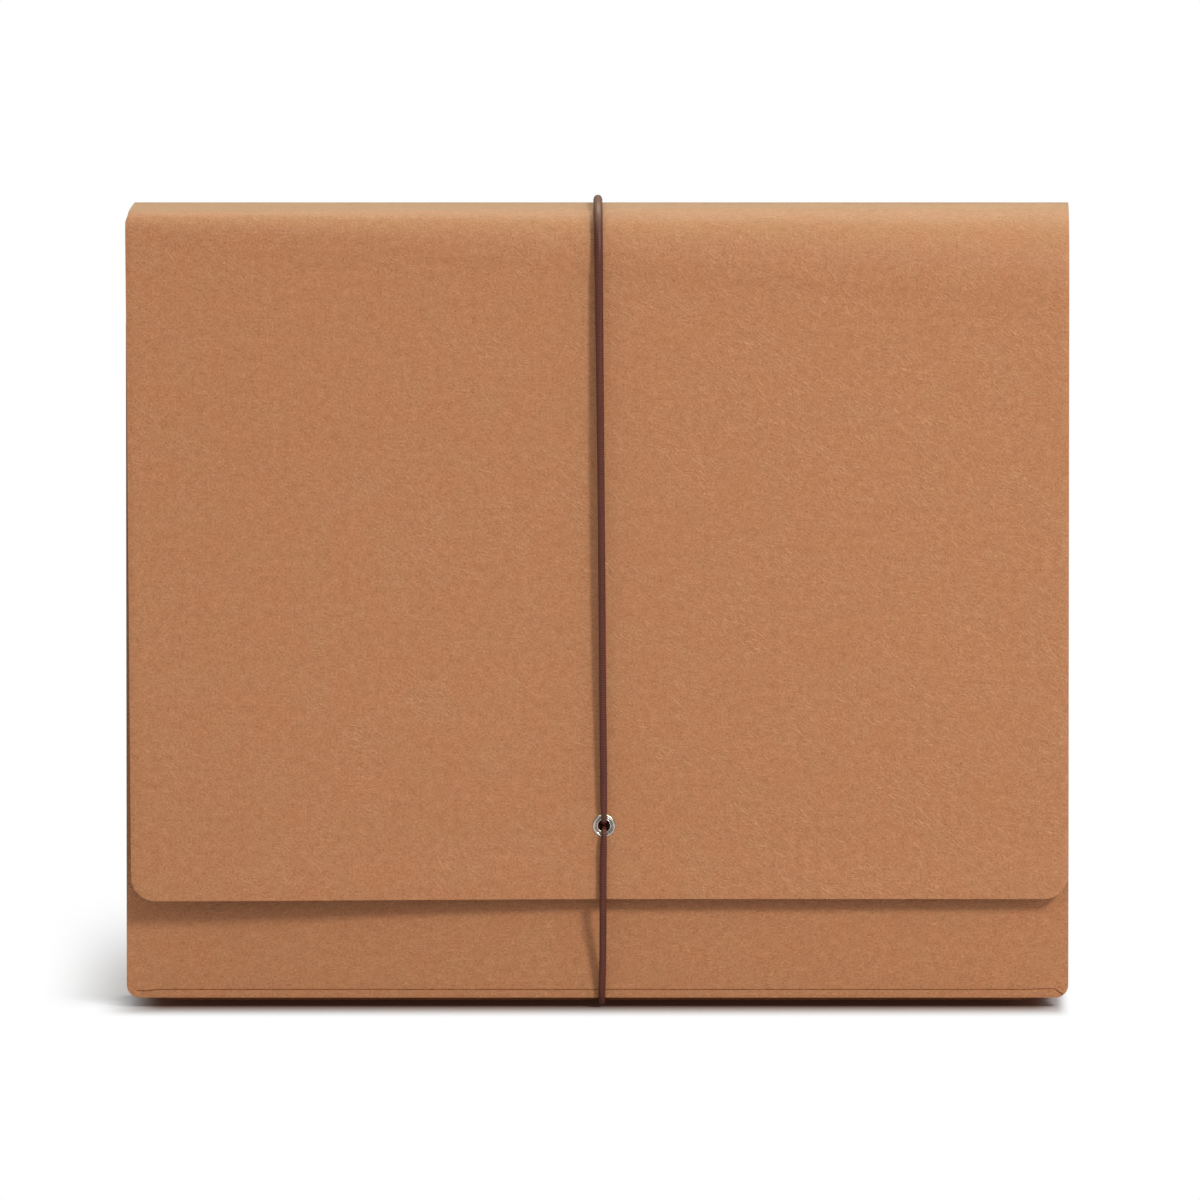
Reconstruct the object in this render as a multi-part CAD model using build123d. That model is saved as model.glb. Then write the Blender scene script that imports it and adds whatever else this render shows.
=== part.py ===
"""Expanding accordion file with a wrap-over flap held by an elastic cord.

Lengths are millimetres and angles are degrees. +X runs across the file, -Y is
the side that the flap closes over, and +Z is up. The origin is the middle of
the bottom. A depth is measured forward from the back panel's outer face.
"""
from build123d import *
from math import asin, cos, degrees, pi, radians, sin
import os

# Cover board, one scored sheet that makes the back panel and the flap
FILE_WIDTH = 305.0
BOARD = 0.8
BACK_MARGIN = 2.6
FLAP_TOP = 259.7
REAR_BEND = 6.0
FRONT_BEND = 12.0
FOLD_GAP = 0.3
FOLD_RELIEF = 0.1

# Flap
FLAP_STANDOFF = 4.4
FLAP_EDGE = 35.85
FLAP_INSET = 0.3
FLAP_TAPER = 1.0
FLAP_CORNER = 8.0

# Front panel and the end plies of the gusset
FRONT_LIFT = 3.4
FRONT_MARGIN = 2.6
SIDE_MARGIN = 0.3
FRONT_DROP = 36.1
FRONT_CORNER = 3.0
LINING = 0.4
LINING_DROP = 23.1
GLUE_LINE = 0.1
GUSSET_CORNER = 5.0

# Pockets and dividers
POCKETS = 5
POCKET_GAP = 6.0
DIVIDER = 0.6
DIVIDER_INSET = 0.2
DIVIDER_DROP = 28.1
TAB_WIDTH = 52.0
TAB_HEIGHT = 11.0
TAB_CORNER = 3.0
TAB_STEP = 66.0

# Pleat leaves of the gusset, two to a pocket on each side and along the bottom
LEAF = 0.4
LEAF_LENGTH = 12.0
LEAF_CLEARANCE = 0.2
LEAF_TIP_GAP = 0.15
RIDGE_INSET = 0.9
RIDGE_RISE = 5.1
MITRE_RELIEF = 1.0

# Eyelet in the flap
EYELET_X = 2.0
EYELET_Z = 60.25
EYELET_BORE = 4.0
EYELET_BARREL = 4.6
EYELET_FLANGE = 7.2
EYELET_RIM = 0.7
EYELET_ROUND = 0.3
CLINCH = 6.2
CLINCH_RIM = 0.6
HOLE_CLEARANCE = 0.05

# Elastic cord and its knot
CORD = 2.4
CORD_CLEARANCE = 0.1
CORD_LIFT = 1.7
CORD_STANDOFF = 0.85
CORD_FRONT_TURN = 12.0
CORD_REAR_TURN = 7.3
CORD_FOOT_TURN = 2.0
CORD_FOOT = 0.9
CORD_DROP = 3.3
CORD_EASE = 40.0
NOTCH_CLEARANCE = 0.35
NECK = 1.4
NECK_SPACING = 1.5
KNOT = 3.2
KNOT_LENGTH = 4.0
KNOT_GAP = 0.2

# Depths of the layers, from the back panel forward
pitch = POCKET_GAP + DIVIDER
back_lining_depth = BOARD + GLUE_LINE
pocket_depths = [back_lining_depth + LINING + k * pitch for k in range(POCKETS)]
divider_depths = [depth + POCKET_GAP for depth in pocket_depths[:-1]]
front_lining_depth = pocket_depths[-1] + POCKET_GAP
front_panel_depth = front_lining_depth + LINING + GLUE_LINE
front_face_depth = front_panel_depth + BOARD
flap_depth = front_face_depth + FLAP_STANDOFF
flap_face_depth = flap_depth + BOARD
cord_front_depth = flap_face_depth + CORD_STANDOFF + CORD / 2
cord_back_depth = -CORD_CLEARANCE - CORD / 2
depth_centre = (cord_front_depth + cord_back_depth) / 2

# Cover board: widths of the flap, and its round folds' centres in depth and height
flap_top_width = FILE_WIDTH - 2 * FLAP_INSET
flap_edge_width = flap_top_width - 2 * FLAP_TAPER
rear_bend_centre = (REAR_BEND, FLAP_TOP - REAR_BEND)
front_bend_centre = (flap_face_depth - FRONT_BEND, FLAP_TOP - FRONT_BEND)
REAR_FOLD_ANGLE = 135.0
FRONT_FOLD_ANGLE = 45.0

# Heights of the upper edges, below the flap's top
front_top = FLAP_TOP - FRONT_DROP
lining_top = FLAP_TOP - LINING_DROP
divider_top = FLAP_TOP - DIVIDER_DROP

# Pleats at rest
ridge_x = FILE_WIDTH / 2 - RIDGE_INSET
hinge_offset = LEAF_CLEARANCE + LEAF / 2
leaf_rise = POCKET_GAP / 2 - LEAF_TIP_GAP - LEAF / 2 - hinge_offset
leaf_angle = degrees(asin(leaf_rise / LEAF_LENGTH))

# Elastic's route in depth and height, with the places where its three runs meet
cord_under = CORD_LIFT + CORD / 2
cord_over = FLAP_TOP + CORD_CLEARANCE + CORD / 2
cord_foot = (front_face_depth + CORD_FOOT, cord_under)
cord_edge = (cord_front_depth, FLAP_EDGE - CORD_DROP)
cord_front_join = ((cord_foot[0] + cord_edge[0]) / 2, (cord_foot[1] + cord_edge[1]) / 2)
cord_top_join = ((front_bend_centre[0] + rear_bend_centre[0]) / 2, cord_over)
cord_rear_join = (cord_back_depth, rear_bend_centre[1] - CORD_CLEARANCE)
knot_depth = flap_depth - CLINCH_RIM - KNOT_GAP - KNOT / 2


def upright(depth):
    """Plane at a depth that faces forward, with X across and Y up."""
    return Plane(origin=(0, depth_centre - depth, 0), x_dir=(1, 0, 0), z_dir=(0, -1, 0))


def profile_plane(x):
    """Plane across the file at x, where X is depth and Y is height."""
    return Plane(origin=(x, depth_centre, 0), x_dir=(0, -1, 0), z_dir=(-1, 0, 0))


def fold_axis(centre, radius, angle):
    """Depth and height of a fold's axis, just outside the board's outer face."""
    reach = radius + FOLD_RELIEF
    return centre[0] + reach * cos(radians(angle)), centre[1] + reach * sin(radians(angle))


def sheet(width, bottom, top, corner):
    """Upright rectangle with two rounded lower corners."""
    outline = Pos(0, (bottom + top) / 2) * Rectangle(width, top - bottom)
    return fillet(outline.vertices().group_by(Axis.Y)[0], corner)


def cord_notch(top):
    """Notch in a lower edge that clears the elastic up to a height."""
    return Pos(EYELET_X, 0) * Rectangle(CORD + 2 * NOTCH_CLEARANCE, 2 * top)


def across(profile, width):
    """Solid of a profile in depth and height, centred across the file."""
    return extrude(profile_plane(0) * profile, amount=width / 2, both=True)


def bend(centre, radius, start, end):
    """Profile of a round fold of the cover board between two angles."""
    outer = CenterArc(centre, radius, start, end - start)
    inner = CenterArc(centre, radius - BOARD, start, end - start)
    return make_face([outer, inner, Line(outer @ 0, inner @ 0), Line(outer @ 1, inner @ 1)])


def half_gap(radius):
    """Angle that keeps one end of a fold half the fold gap from its axis."""
    return degrees(FOLD_GAP / 2 / radius)


def back_panel():
    """Back board with the lower half of the rear fold."""
    outline = sheet(FILE_WIDTH, BACK_MARGIN, rear_bend_centre[1], GUSSET_CORNER)
    outline -= cord_notch(cord_under + CORD_FOOT_TURN + NOTCH_CLEARANCE)
    start = REAR_FOLD_ANGLE + half_gap(REAR_BEND)
    fold = bend(rear_bend_centre, REAR_BEND, start, 180)
    return extrude(upright(0) * outline, amount=BOARD) + across(fold, FILE_WIDTH)


def flap_spine():
    """Upper half of the rear fold and the flat top, up to the front fold."""
    end = REAR_FOLD_ANGLE - half_gap(REAR_BEND)
    flat_length = front_bend_centre[0] - FOLD_GAP - rear_bend_centre[0]
    middle = (rear_bend_centre[0] + flat_length / 2, FLAP_TOP - BOARD / 2)
    profile = bend(rear_bend_centre, REAR_BEND, 90, end) + Pos(*middle) * Rectangle(flat_length, BOARD)
    return across(profile, flap_top_width)


def flap_shoulder():
    """Upper half of the front fold."""
    start = FRONT_FOLD_ANGLE + half_gap(FRONT_BEND)
    return across(bend(front_bend_centre, FRONT_BEND, start, 90), flap_top_width)


def flap_leaf():
    """Lower half of the front fold and the leaf that covers the front panel."""
    end = FRONT_FOLD_ANGLE - half_gap(FRONT_BEND)
    top = front_bend_centre[1]
    half_top = flap_top_width / 2
    half_edge = flap_edge_width / 2
    corners = [(-half_top, top), (half_top, top), (half_edge, FLAP_EDGE), (-half_edge, FLAP_EDGE)]
    outline = make_face(Polyline(*corners, close=True))
    outline = fillet(outline.vertices().group_by(Axis.Y)[0], FLAP_CORNER)
    outline -= Pos(EYELET_X, EYELET_Z) * Circle(EYELET_BARREL / 2 + HOLE_CLEARANCE)
    fold = across(bend(front_bend_centre, FRONT_BEND, 0, end), flap_top_width)
    return extrude(upright(flap_depth) * outline, amount=BOARD) + fold


def back_lining():
    """Gusset ply glued to the inside of the back panel."""
    outline = sheet(FILE_WIDTH, 0, lining_top, GUSSET_CORNER)
    outline -= cord_notch(cord_under + CORD / 2 + NOTCH_CLEARANCE)
    return extrude(upright(back_lining_depth) * outline, amount=LINING)


def front_lining():
    """Gusset ply glued to the back of the front panel, showing below it."""
    outline = sheet(FILE_WIDTH, FRONT_LIFT, front_top, GUSSET_CORNER)
    outline -= cord_notch(cord_under + CORD / 2 + NOTCH_CLEARANCE)
    return extrude(upright(front_lining_depth) * outline, amount=LINING)


def front_panel():
    """Front board, set in a little from the gusset's edges."""
    outline = sheet(FILE_WIDTH - 2 * SIDE_MARGIN, FRONT_LIFT + FRONT_MARGIN, front_top, FRONT_CORNER)
    return extrude(upright(front_panel_depth) * outline, amount=BOARD)


def divider(index):
    """Divider sheet with an index tab, stepped across from one to the next."""
    outline = sheet(FILE_WIDTH - 2 * DIVIDER_INSET, 0, divider_top, GUSSET_CORNER)
    tab_x = (index - (len(divider_depths) - 1) / 2) * TAB_STEP
    tab = Pos(tab_x, divider_top) * Rectangle(TAB_WIDTH, 2 * TAB_HEIGHT)
    outline += fillet(tab.vertices().group_by(Axis.Y)[-1], TAB_CORNER)
    outline -= cord_notch(cord_under + CORD / 2 + NOTCH_CLEARANCE)
    return extrude(upright(divider_depths[index]) * outline, amount=DIVIDER)


def pleat_hinges():
    """Each pleat leaf as name, pocket, side, end, hinge point and direction from the hinge."""
    inward = {"left": Vector(1, 0, 0), "right": Vector(-1, 0, 0), "bottom": Vector(0, 0, 1)}
    ridge = {"left": (-ridge_x, 0), "right": (ridge_x, 0), "bottom": (0, RIDGE_RISE)}
    for pocket, depth in enumerate(pocket_depths):
        places = {"rear": (depth + hinge_offset, -1), "front": (depth + POCKET_GAP - hinge_offset, 1)}
        for side, across_dir in inward.items():
            for end, (hinge_depth, lean) in places.items():
                name = f"{side}_pleat_{pocket + 1}_{end}"
                x, z = ridge[side]
                point = Vector(x, depth_centre - hinge_depth, z)
                lift = Vector(0, lean * sin(radians(leaf_angle)), 0)
                yield name, pocket, side, end, point, across_dir * cos(radians(leaf_angle)) + lift


def pleat_leaf(side, point, direction):
    """Flat leaf of the gusset from its hinge to its inner crease, mitred at the corners."""
    if side == "bottom":
        reach = ridge_x - MITRE_RELIEF
        inner = reach - LEAF_LENGTH
        corners = [(0, -reach), (LEAF_LENGTH, -inner), (LEAF_LENGTH, inner), (0, reach)]
        along = Vector(1, 0, 0)
    else:
        foot = RIDGE_RISE + MITRE_RELIEF
        corners = [(0, foot), (LEAF_LENGTH, foot + LEAF_LENGTH), (LEAF_LENGTH, front_top), (0, front_top)]
        along = Vector(0, 0, 1)
    plane = Plane(origin=point, x_dir=direction, z_dir=direction.cross(along))
    return extrude(plane * make_face(Polyline(*corners, close=True)), amount=LEAF / 2, both=True)


def eyelet():
    """Metal eyelet: barrel, rounded front flange and clinched rear rim."""
    seat = Plane(origin=upright(flap_depth).from_local_coords((EYELET_X, EYELET_Z, 0)), z_dir=(0, -1, 0))
    upward = (Align.CENTER, Align.CENTER, Align.MIN)
    downward = (Align.CENTER, Align.CENTER, Align.MAX)
    length = CLINCH_RIM + BOARD + EYELET_RIM
    flange = Pos(0, 0, BOARD) * Cylinder(EYELET_FLANGE / 2, EYELET_RIM, align=upward)
    flange = fillet(flange.edges().group_by(Axis.Z)[-1], EYELET_ROUND)
    rim = Cylinder(CLINCH / 2, CLINCH_RIM, align=downward)
    rim = fillet(rim.edges().group_by(Axis.Z)[0], EYELET_ROUND)
    barrel = Pos(0, 0, -CLINCH_RIM) * Cylinder(EYELET_BARREL / 2, length, align=upward)
    bore = Pos(0, 0, -CLINCH_RIM) * Cylinder(EYELET_BORE / 2, length, align=upward)
    return seat * (flange + rim + barrel - bore)


def cord_tube(points, turn, diameter):
    """Round cord along depth and height points in the elastic's plane, with tangent turns."""
    path = profile_plane(EYELET_X) * FilletPolyline(*points, radius=turn)
    section = Plane(origin=path @ 0, z_dir=path % 0) * Circle(diameter / 2)
    tube = sweep(section, path)
    expected = pi * diameter ** 2 / 4 * path.length
    print(f"cord run {path.length:.1f} mm, turn {turn:.1f} mm, volume ratio {tube.volume / expected:.4f}")
    return tube


def elastic_front():
    """Run over the flap: both strands, their necks in the eyelet and the knot behind it."""
    plane = profile_plane(EYELET_X)
    cord = plane * Pos(knot_depth, EYELET_Z) * Cylinder(KNOT / 2, KNOT_LENGTH)
    for end in (-1, 1):
        cord += plane * Pos(knot_depth, EYELET_Z, end * KNOT_LENGTH / 2) * Sphere(KNOT / 2)
    for side in (-1, 1):
        neck_z = EYELET_Z + side * NECK_SPACING / 2
        neck_start = (cord_front_depth, neck_z + side * (CORD / 2 + NECK))
        neck = [neck_start, (cord_front_depth, neck_z), (knot_depth, neck_z)]
        strand_end = (cord_front_depth, neck_z + side * CORD / 2)
        cord += cord_tube(neck, CORD / 2, NECK)
        cord += plane * Pos(*strand_end) * Sphere(CORD / 2)
        if side > 0:
            corner = (cord_front_depth, cord_over)
            cord += cord_tube([strand_end, corner, cord_top_join], CORD_FRONT_TURN, CORD)
        else:
            cord += cord_tube([strand_end, cord_edge, cord_front_join], CORD_EASE, CORD)
    return cord


def elastic_top():
    """Run over the top and down into the rear fold."""
    return cord_tube([cord_top_join, (cord_back_depth, cord_over), cord_rear_join], CORD_REAR_TURN, CORD)


def elastic_back():
    """Run down the back, under the file and up to the flap's edge."""
    points = [cord_rear_join, (cord_back_depth, cord_under), cord_foot, cord_front_join]
    return cord_tube(points, CORD_FOOT_TURN, CORD)


def build():
    """All nodes by name."""
    nodes = {
        "back_panel": back_panel(),
        "back_lining": back_lining(),
        "front_lining": front_lining(),
        "front_panel": front_panel(),
        "flap_spine": flap_spine(),
        "flap_shoulder": flap_shoulder(),
        "flap_leaf": flap_leaf(),
        "eyelet": eyelet(),
        "elastic_front": elastic_front(),
        "elastic_top": elastic_top(),
        "elastic_back": elastic_back(),
    }
    for index in range(len(divider_depths)):
        nodes[f"divider_{index + 1}"] = divider(index)
    for name, pocket, side, end, point, direction in pleat_hinges():
        nodes[name] = pleat_leaf(side, point, direction)
    return nodes


def main():
    os.makedirs("parts", exist_ok=True)
    for name, solid in build().items():
        export_step(solid, f"parts/{name}.step")


if __name__ == "__main__":
    main()
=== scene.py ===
"""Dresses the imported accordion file: its folded board, gusset, dividers, eyelet and elastic.

Lengths are metres unless a name or a comment says millimetres. The file stands on a white stage.
"""

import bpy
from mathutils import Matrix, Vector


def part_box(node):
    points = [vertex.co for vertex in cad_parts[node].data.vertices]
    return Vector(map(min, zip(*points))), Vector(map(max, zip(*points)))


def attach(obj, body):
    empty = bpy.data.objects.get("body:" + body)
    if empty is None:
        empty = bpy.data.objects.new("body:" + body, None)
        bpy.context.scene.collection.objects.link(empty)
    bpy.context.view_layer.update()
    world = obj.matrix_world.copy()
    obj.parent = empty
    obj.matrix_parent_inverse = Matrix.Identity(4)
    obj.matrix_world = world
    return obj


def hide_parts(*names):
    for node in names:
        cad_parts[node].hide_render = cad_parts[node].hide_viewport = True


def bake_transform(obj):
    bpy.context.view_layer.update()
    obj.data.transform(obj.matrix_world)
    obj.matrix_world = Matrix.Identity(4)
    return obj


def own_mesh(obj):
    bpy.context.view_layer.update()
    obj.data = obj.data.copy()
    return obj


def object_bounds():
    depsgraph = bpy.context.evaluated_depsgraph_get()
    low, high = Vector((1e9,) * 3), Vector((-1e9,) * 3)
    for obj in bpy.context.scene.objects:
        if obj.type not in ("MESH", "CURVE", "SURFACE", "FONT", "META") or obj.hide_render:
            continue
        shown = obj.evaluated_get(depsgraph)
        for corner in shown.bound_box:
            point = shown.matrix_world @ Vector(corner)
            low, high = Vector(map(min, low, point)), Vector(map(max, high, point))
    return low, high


bl_info = {
    "name": "Accordion File",
    "version": (1, 0, 0),
    "blender": (4, 5, 0),
    "location": "View3D > Sidebar > Accordion File",
    "description": "Builds the visible pieces of an accordion file on its packed frame",
    "category": "Object",
}

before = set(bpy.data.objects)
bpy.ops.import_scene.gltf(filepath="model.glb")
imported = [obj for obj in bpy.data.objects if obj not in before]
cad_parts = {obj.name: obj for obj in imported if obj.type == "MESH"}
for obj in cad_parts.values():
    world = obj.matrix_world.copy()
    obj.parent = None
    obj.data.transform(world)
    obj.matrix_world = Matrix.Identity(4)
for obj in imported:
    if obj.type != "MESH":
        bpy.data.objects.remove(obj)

from math import cos, pi, radians, sin, sqrt

import bmesh
import bpy
from bpy.props import FloatProperty, FloatVectorProperty, IntProperty, PointerProperty
from mathutils import Matrix, Vector

CAD_LOW, CAD_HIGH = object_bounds()
BACK_LOW, BACK_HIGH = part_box("back_panel")
LEAF_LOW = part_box("flap_leaf")[0]
FRONT_LOW, FRONT_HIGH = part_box("front_panel")
PLY_LOW, PLY_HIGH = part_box("front_lining")
BACK_PLY_LOW, BACK_PLY_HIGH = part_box("back_lining")
PLEAT_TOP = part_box("left_pleat_1_rear")[1].z
EYELET_LOW, EYELET_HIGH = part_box("eyelet")
TOP_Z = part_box("flap_spine")[1].z
FLAP_DEPTH = BACK_HIGH.y - LEAF_LOW.y
EYELET_CENTRE = (EYELET_LOW + EYELET_HIGH) / 2
DIVIDERS = sorted(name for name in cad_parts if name.startswith("divider_"))
PLEATS = sorted(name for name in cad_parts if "_pleat_" in name)
MM = 0.001

# Places across of the eyelet and of the elastic under the file, in millimetres
EYE_X = EYELET_CENTRE.x / MM
FOOT_X = 1.3


def place(x, depth, height):
    """A point of the frame, with its depth counted forward from the outer face of the back."""
    return Vector((x, BACK_HIGH.y - depth, height))


def mix(start, end, share):
    return start + (end - start) * share


def ease(share):
    share = min(max(share, 0), 1)
    return share * share * (3 - 2 * share)


def length(name, description, default):
    return FloatProperty(name=name, description=description, default=default, unit="LENGTH", precision=5)


def colour(name, description, default):
    return FloatVectorProperty(
        name=name, description=description, default=default, subtype="COLOR", size=3, min=0, max=1
    )


def power(name, description, default):
    return FloatProperty(name=name, description=description, default=default, unit="POWER")


def strength(name, description, default):
    return FloatProperty(name=name, description=description, default=default, min=0)


class CoverSettings(bpy.types.PropertyGroup):
    """Sizes and colours of the cover board."""

    board: length("Board", "Thickness of the board", 0.8 * MM)
    rear_fold: length("Rear Fold", "Radius of the fold above the back", 6 * MM)
    left_shoulder: length("Left Shoulder", "Reach of the flap's shoulder at its left end", 8.5 * MM)
    right_shoulder: length("Right Shoulder", "Reach of the flap's shoulder at its right end", 28 * MM)
    top_start: length("Top Start", "Depth at which the top begins to stretch", 7 * MM)
    top_end: length("Top End", "Depth at which the top ends its stretch", 11.5 * MM)
    top_spare: length("Top Spare", "Board that the top gives when the file is full", 41 * MM)
    back_corner: length("Back Corner", "Radius of the back's lower corners", 5 * MM)
    flap_corner: length("Flap Corner", "Radius of the flap's lower corners", 8 * MM)
    left_high: length("Left High", "Flap's inset at the left end of the shoulder", -0.4 * MM)
    left_low: length("Left Low", "Flap's inset at the lower left corner", 1.25 * MM)
    right_inset: length("Right Inset", "Flap's inset along its right side", -0.05 * MM)
    skew: length("Skew", "Inset of the rear fold's left end", 2.2 * MM)
    slant: length("Slant", "Inset of the top's left end where the shoulder begins", 0.45 * MM)
    lift: length("Corner Lift", "How far the flap's lower left corner stands forward", 6 * MM)
    edge_rise: length("Edge Rise", "How far the flap's lower edge stops short", 0.5 * MM)
    hem: length("Hem", "How far the flap's whole lower edge stands forward", 1.2 * MM)
    bow: length("Bow", "How far the flap sinks between its shoulder and the eyelet", 1.6 * MM)
    hole: length("Hole", "Radius of the hole under the eyelet", 2.35 * MM)
    front_corner: length("Front Corner", "Radius of the front panel's lower corners", 4.2 * MM)
    spread: length("Front Spread", "How far the front panel passes the gusset at each side", 0.2 * MM)
    drift: length("Front Drift", "How far the front panel sits to the left", 0.1 * MM)
    crease_depth: length("Crease Depth", "Depth of the crease along the front panel's foot", 0.5 * MM)
    crease_width: length("Crease Width", "Half width of that crease", 0.2 * MM)
    foot_roll: length("Foot Roll", "How far the front panel's foot turns under", 0.08 * MM)
    face: colour("Face", "Colour of the board's face", (0.462, 0.1955, 0.0822))
    inside: colour("Inside", "Colour of the board's inner side", (0.44, 0.215, 0.11))
    edge: colour("Edge", "Colour of the board's cut edge", (0.4, 0.195, 0.11))


class GussetSettings(bpy.types.PropertyGroup):
    """Sizes and colours of the gusset and the dividers."""

    fold_width: length("Fold Width", "Depth of the folded strip round each sheet", 2.6 * MM)
    leaf: length("Leaf", "A gusset leaf with its clearance", 0.6 * MM)
    corner: length("Corner", "Radius of the gusset's lower corners", 16 * MM)
    rise: length("Rise", "How far the dividers' folds stay off the floor", 1.6 * MM)
    notch: length("Notch", "Half width of the notch for the elastic", 1.3 * MM)
    divider_inset: length("Divider Inset", "How far a divider stops short of its fold", 0.9 * MM)
    tab_width: length("Tab Width", "Width of a divider's tab", 52 * MM)
    tab_height: length("Tab Height", "Height of a divider's tab", 11 * MM)
    tab_step: length("Tab Step", "Distance from tab to tab", 66 * MM)
    tab_corner: length("Tab Corner", "Radius of a tab's corners", 3 * MM)
    paper: colour("Paper", "Colour of the gusset", (0.43, 0.19, 0.088))
    sheet: colour("Sheet", "Colour of the dividers", (0.5, 0.29, 0.16))


class EyeletSettings(bpy.types.PropertyGroup):
    """Finish of the eyelet."""

    segments: IntProperty(name="Segments", description="Faces round the eyelet", default=96, min=24)
    metal: colour("Metal", "Colour of the bright metal", (0.52, 0.48, 0.43))


class ElasticSettings(bpy.types.PropertyGroup):
    """Size and colours of the elastic."""

    radius: length("Radius", "Half the elastic's thickness", 1.2 * MM)
    nest: length("Nest", "How much thinner each inner run is", 0.04 * MM)
    sides: IntProperty(name="Sides", description="Faces round the elastic", default=20, min=8)
    # Painted shade and light on the braid: the dark colour goes between the strands, the light one on them;
    # fuzz and wear also mix the two at random
    gap_shade_and_wear: colour("Dark", "Colour between the strands of the braid", (0.052, 0.0125, 0.007))
    light: colour("Light", "Colour on the strands of the braid", (0.15, 0.038, 0.024))


class StageSettings(bpy.types.PropertyGroup):
    """Camera, lamps and floor."""

    distance: length("Distance", "From the camera to the flap", 12)
    elevation: FloatProperty(
        name="Elevation", description="How far the camera looks down", default=radians(6.5), subtype="ANGLE"
    )
    frame_width: length("Frame Width", "Width of the picture at the flap", 0.3886)
    centre_x: length("Centre Across", "Place across at the picture's centre", 0.0007)
    centre_z: length("Centre Height", "Height at the picture's centre", 0.1338)
    key_power: power("Key", "Power of the key lamp", 21)
    key_size: length("Key Size", "Width of the key lamp", 0.42)
    key_distance: length("Key Distance", "From the key lamp to the file", 2)
    shine_power: power("Shine", "Power of the lamp that only shows as shine", 46)
    shine_size: length("Shine Size", "Width of that lamp", 2.6)
    shine_tint: colour("Shine Tint", "Colour of that lamp", (0.78, 1, 0.78))
    top_power: power("Top", "Power of the lamp above", 5.2)
    top_size: length("Top Size", "Width of the lamp above", 1.2)
    lamp_distance: length("Lamp Distance", "From the two lamps above to the file", 1.4)
    fill: strength("Fill", "Strength of the light from all round", 0.88)
    room: strength("Room", "Brightness of the room in reflections", 0.25)
    softbox: strength("Softbox", "Brightness behind and above the file in reflections", 1.25)
    tint: colour("Tint", "Colour of that light in reflections", (1, 0.66, 0.22))
    floor: strength("Floor", "Brightness of the floor as seen", 0.79)
    shadow_left: length("Shadow Reach", "How far the shadow shows on the floor at the left", 0.03)


class Wire:
    """A socket of a finish, with arithmetic."""

    def __init__(self, finish, socket):
        self.finish = finish
        self.socket = socket

    def maths(self, operation, first, second):
        return self.finish.node("ShaderNodeMath", {"operation": operation}, {0: first, 1: second})

    def __add__(self, other):
        return self.maths("ADD", self, other)

    def __radd__(self, other):
        return self.maths("ADD", other, self)

    def __sub__(self, other):
        return self.maths("SUBTRACT", self, other)

    def __rsub__(self, other):
        return self.maths("SUBTRACT", other, self)

    def __mul__(self, other):
        return self.maths("MULTIPLY", self, other)

    def __rmul__(self, other):
        return self.maths("MULTIPLY", other, self)

    def __abs__(self):
        return self.finish.node("ShaderNodeMath", {"operation": "ABSOLUTE"}, {0: self})


class Finish:
    """The nodes of one material."""

    def __init__(self, name, tree=None):
        if tree is None:
            self.material = bpy.data.materials.new(name)
            self.material.use_nodes = True
            tree = self.material.node_tree
            tree.nodes.clear()
        self.tree = tree

    def node(self, kind, settings=None, sockets=None, output=0):
        """Adds a node, with its settings first and then the values or links of its sockets."""
        node = self.tree.nodes.new(kind)
        for name, value in (settings or {}).items():
            if name == "stops":
                self.stops(node.color_ramp, value)
            else:
                setattr(node, name, value)
        for name, value in (sockets or {}).items():
            if isinstance(value, Wire):
                self.tree.links.new(value.socket, node.inputs[name])
            else:
                node.inputs[name].default_value = value
        if not node.outputs:
            return None
        return Wire(self, node.outputs[output])

    def stops(self, ramp, stops):
        while len(ramp.elements) < len(stops):
            ramp.elements.new(1)
        for element, (position, value) in zip(ramp.elements, stops):
            element.position = position
            element.color = value

    def noise(self, vector, scale, detail, roughness=0.5, output=0):
        sockets = {"Vector": vector, "Scale": scale, "Detail": detail, "Roughness": roughness}
        return self.node("ShaderNodeTexNoise", {}, sockets, output)

    def step(self, value, low, high):
        """Rises smoothly from 0 at low to 1 at high."""
        settings = {"interpolation_type": "SMOOTHSTEP"}
        return self.node("ShaderNodeMapRange", settings, {0: value, 1: low, 2: high, 3: 0.0, 4: 1.0})

    def tint(self, first, second, factor):
        return self.node("ShaderNodeMix", {"data_type": "RGBA"}, {0: factor, 6: first, 7: second}, 2)

    def vector(self, operation, first, second):
        return self.node("ShaderNodeVectorMath", {"operation": operation}, {0: first, 1: second})

    def shade(self, sockets):
        shader = self.node("ShaderNodeBsdfPrincipled", {}, sockets)
        self.node("ShaderNodeOutputMaterial", {}, {"Surface": shader})
        return self.material


def tone(rgb, factor):
    """A colour made lighter or darker, with its alpha."""
    return tuple(min(channel * factor, 1) for channel in rgb) + (1,)


def faded(rgb, factor):
    """A colour made paler or deeper, as wear and soaking do."""
    return min(rgb[0] * factor, 1), min(rgb[1] * factor ** 1.4, 1), min(rgb[2] * factor ** 2, 1), 1


def millimetres(finish, uv_map):
    """Place on the flat sheet, or in the object where there is no flat sheet, in millimetres."""
    if uv_map:
        flat = finish.node("ShaderNodeUVMap", {"uv_map": uv_map})
    else:
        flat = finish.node("ShaderNodeTexCoord", {}, {}, "Object")
    return finish.vector("MULTIPLY", flat, (1 / MM,) * 3)


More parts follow.
